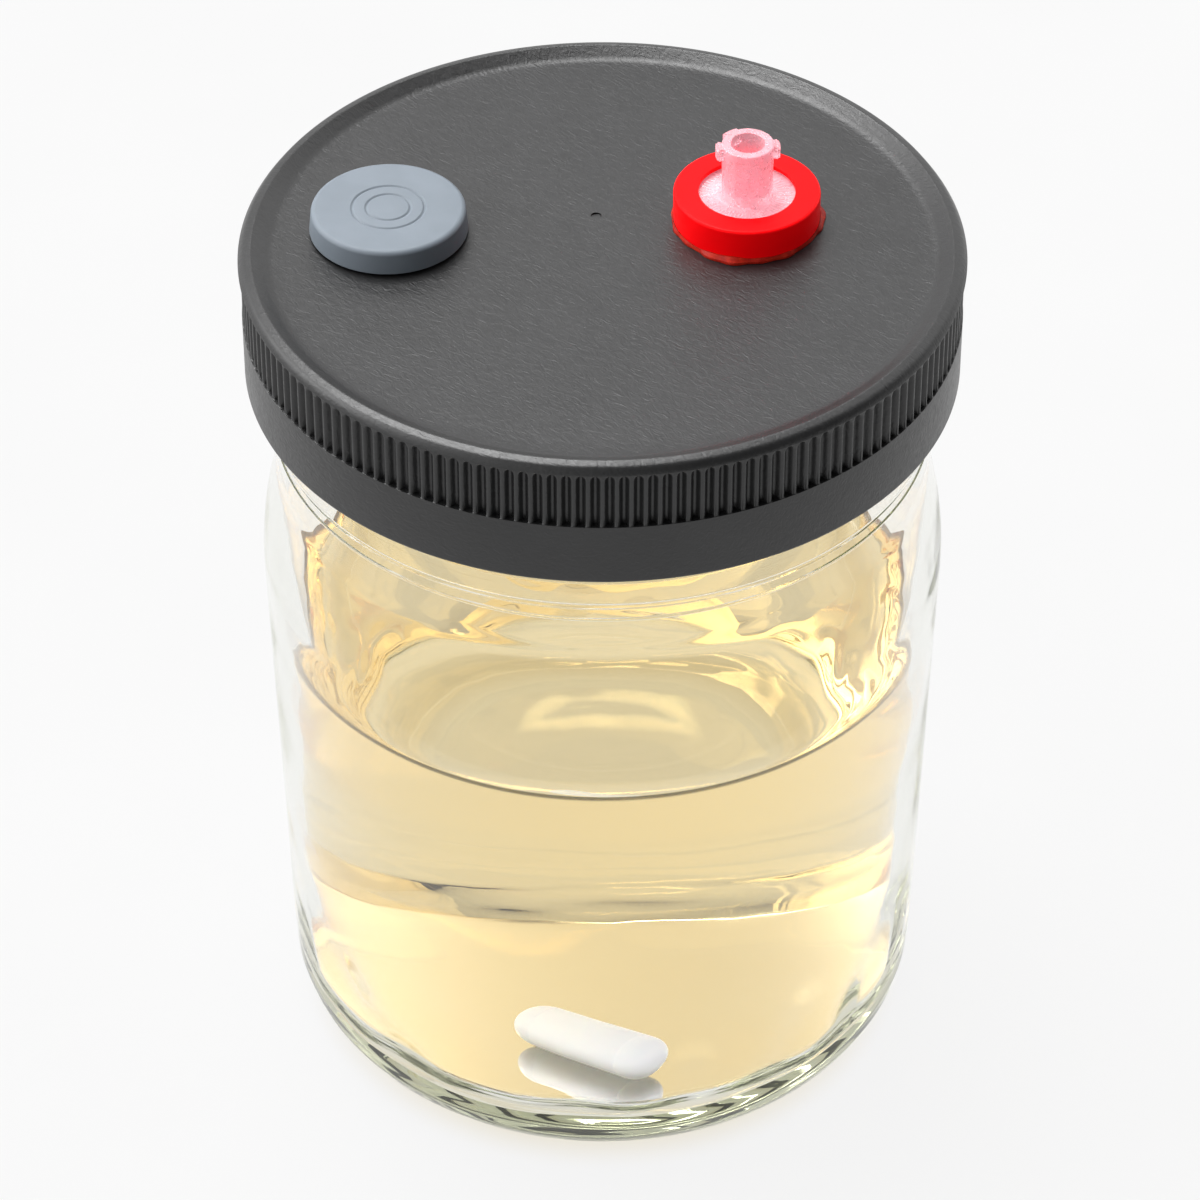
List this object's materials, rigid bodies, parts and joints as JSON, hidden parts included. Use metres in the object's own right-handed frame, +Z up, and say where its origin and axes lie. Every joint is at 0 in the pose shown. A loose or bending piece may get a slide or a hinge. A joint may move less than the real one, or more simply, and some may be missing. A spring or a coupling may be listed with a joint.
{
  "type": "liquid culture jar",
  "caption": "Wide-mouth glass jar of clear broth with a stir bar, under a ribbed screw lid with an injection port and a syringe air filter.",
  "frame": {"origin": "middle of the base, on the surface that the jar stands on", "axes": "+Z up through the lid; the picture's front is -Y, with the injection port towards -X and the air filter towards +X"},
  "size_m": [0.092, 0.092, 0.1346],
  "materials": {
    "clear_glass": "polished, colourless with a faint grey-green cast in its thick edges",
    "clear_broth": "clear pale straw-coloured liquid",
    "white_silicone": "matt silicone",
    "charcoal_plastic": "finely grained moulded polypropylene, soft sheen",
    "grey_blue_rubber": "matt moulded rubber",
    "red_sealant": "cured silicone, soft gloss",
    "red_plastic": "satin moulded plastic",
    "translucent_plastic": "frosty translucent polypropylene",
    "white_membrane": "matt porous membrane",
    "white_fluoropolymer": "smooth waxy white",
    "magnet_metal": "dull sintered magnet"
  },
  "bodies": {
    "jar": {"glass_jar": "clear_glass", "culture_broth": "clear_broth"},
    "seal": {"lid_gasket": "white_silicone"},
    "lid": {"lid_cap": "charcoal_plastic", "injection_port": "grey_blue_rubber", "filter_sealant": "red_sealant", "filter_ring": "red_plastic", "filter_outlet": "translucent_plastic", "filter_membrane": "white_membrane", "filter_inlet": "translucent_plastic"},
    "stir_bar": {"stir_bar_sleeve": "white_fluoropolymer", "stir_bar_right_cap": "white_fluoropolymer", "stir_bar_left_cap": "white_fluoropolymer", "stir_bar_magnet": "magnet_metal"}
  },
  "joints": [
    {"name": "lid_lift", "type": "slide", "parent": "jar", "child": "seal", "axis": [0, 0, 1], "range_m": [0, 0.0224]},
    {"name": "lid_turn", "type": "hinge", "parent": "seal", "child": "lid", "pos_m": [0, 0, 0.1208], "axis": [0, 0, 1], "range_deg": [0, 1260]},
    {"name": "stir_bar_spin", "type": "hinge", "parent": "jar", "child": "stir_bar", "pos_m": [-0.0009, -0.016, 0.00895], "axis": [0, 0, 1], "continuous": true}
  ],
  "couplings": [
    {"joint": "lid_lift", "follows": "lid_turn", "m_per_rad": 0.0010106}
  ]
}
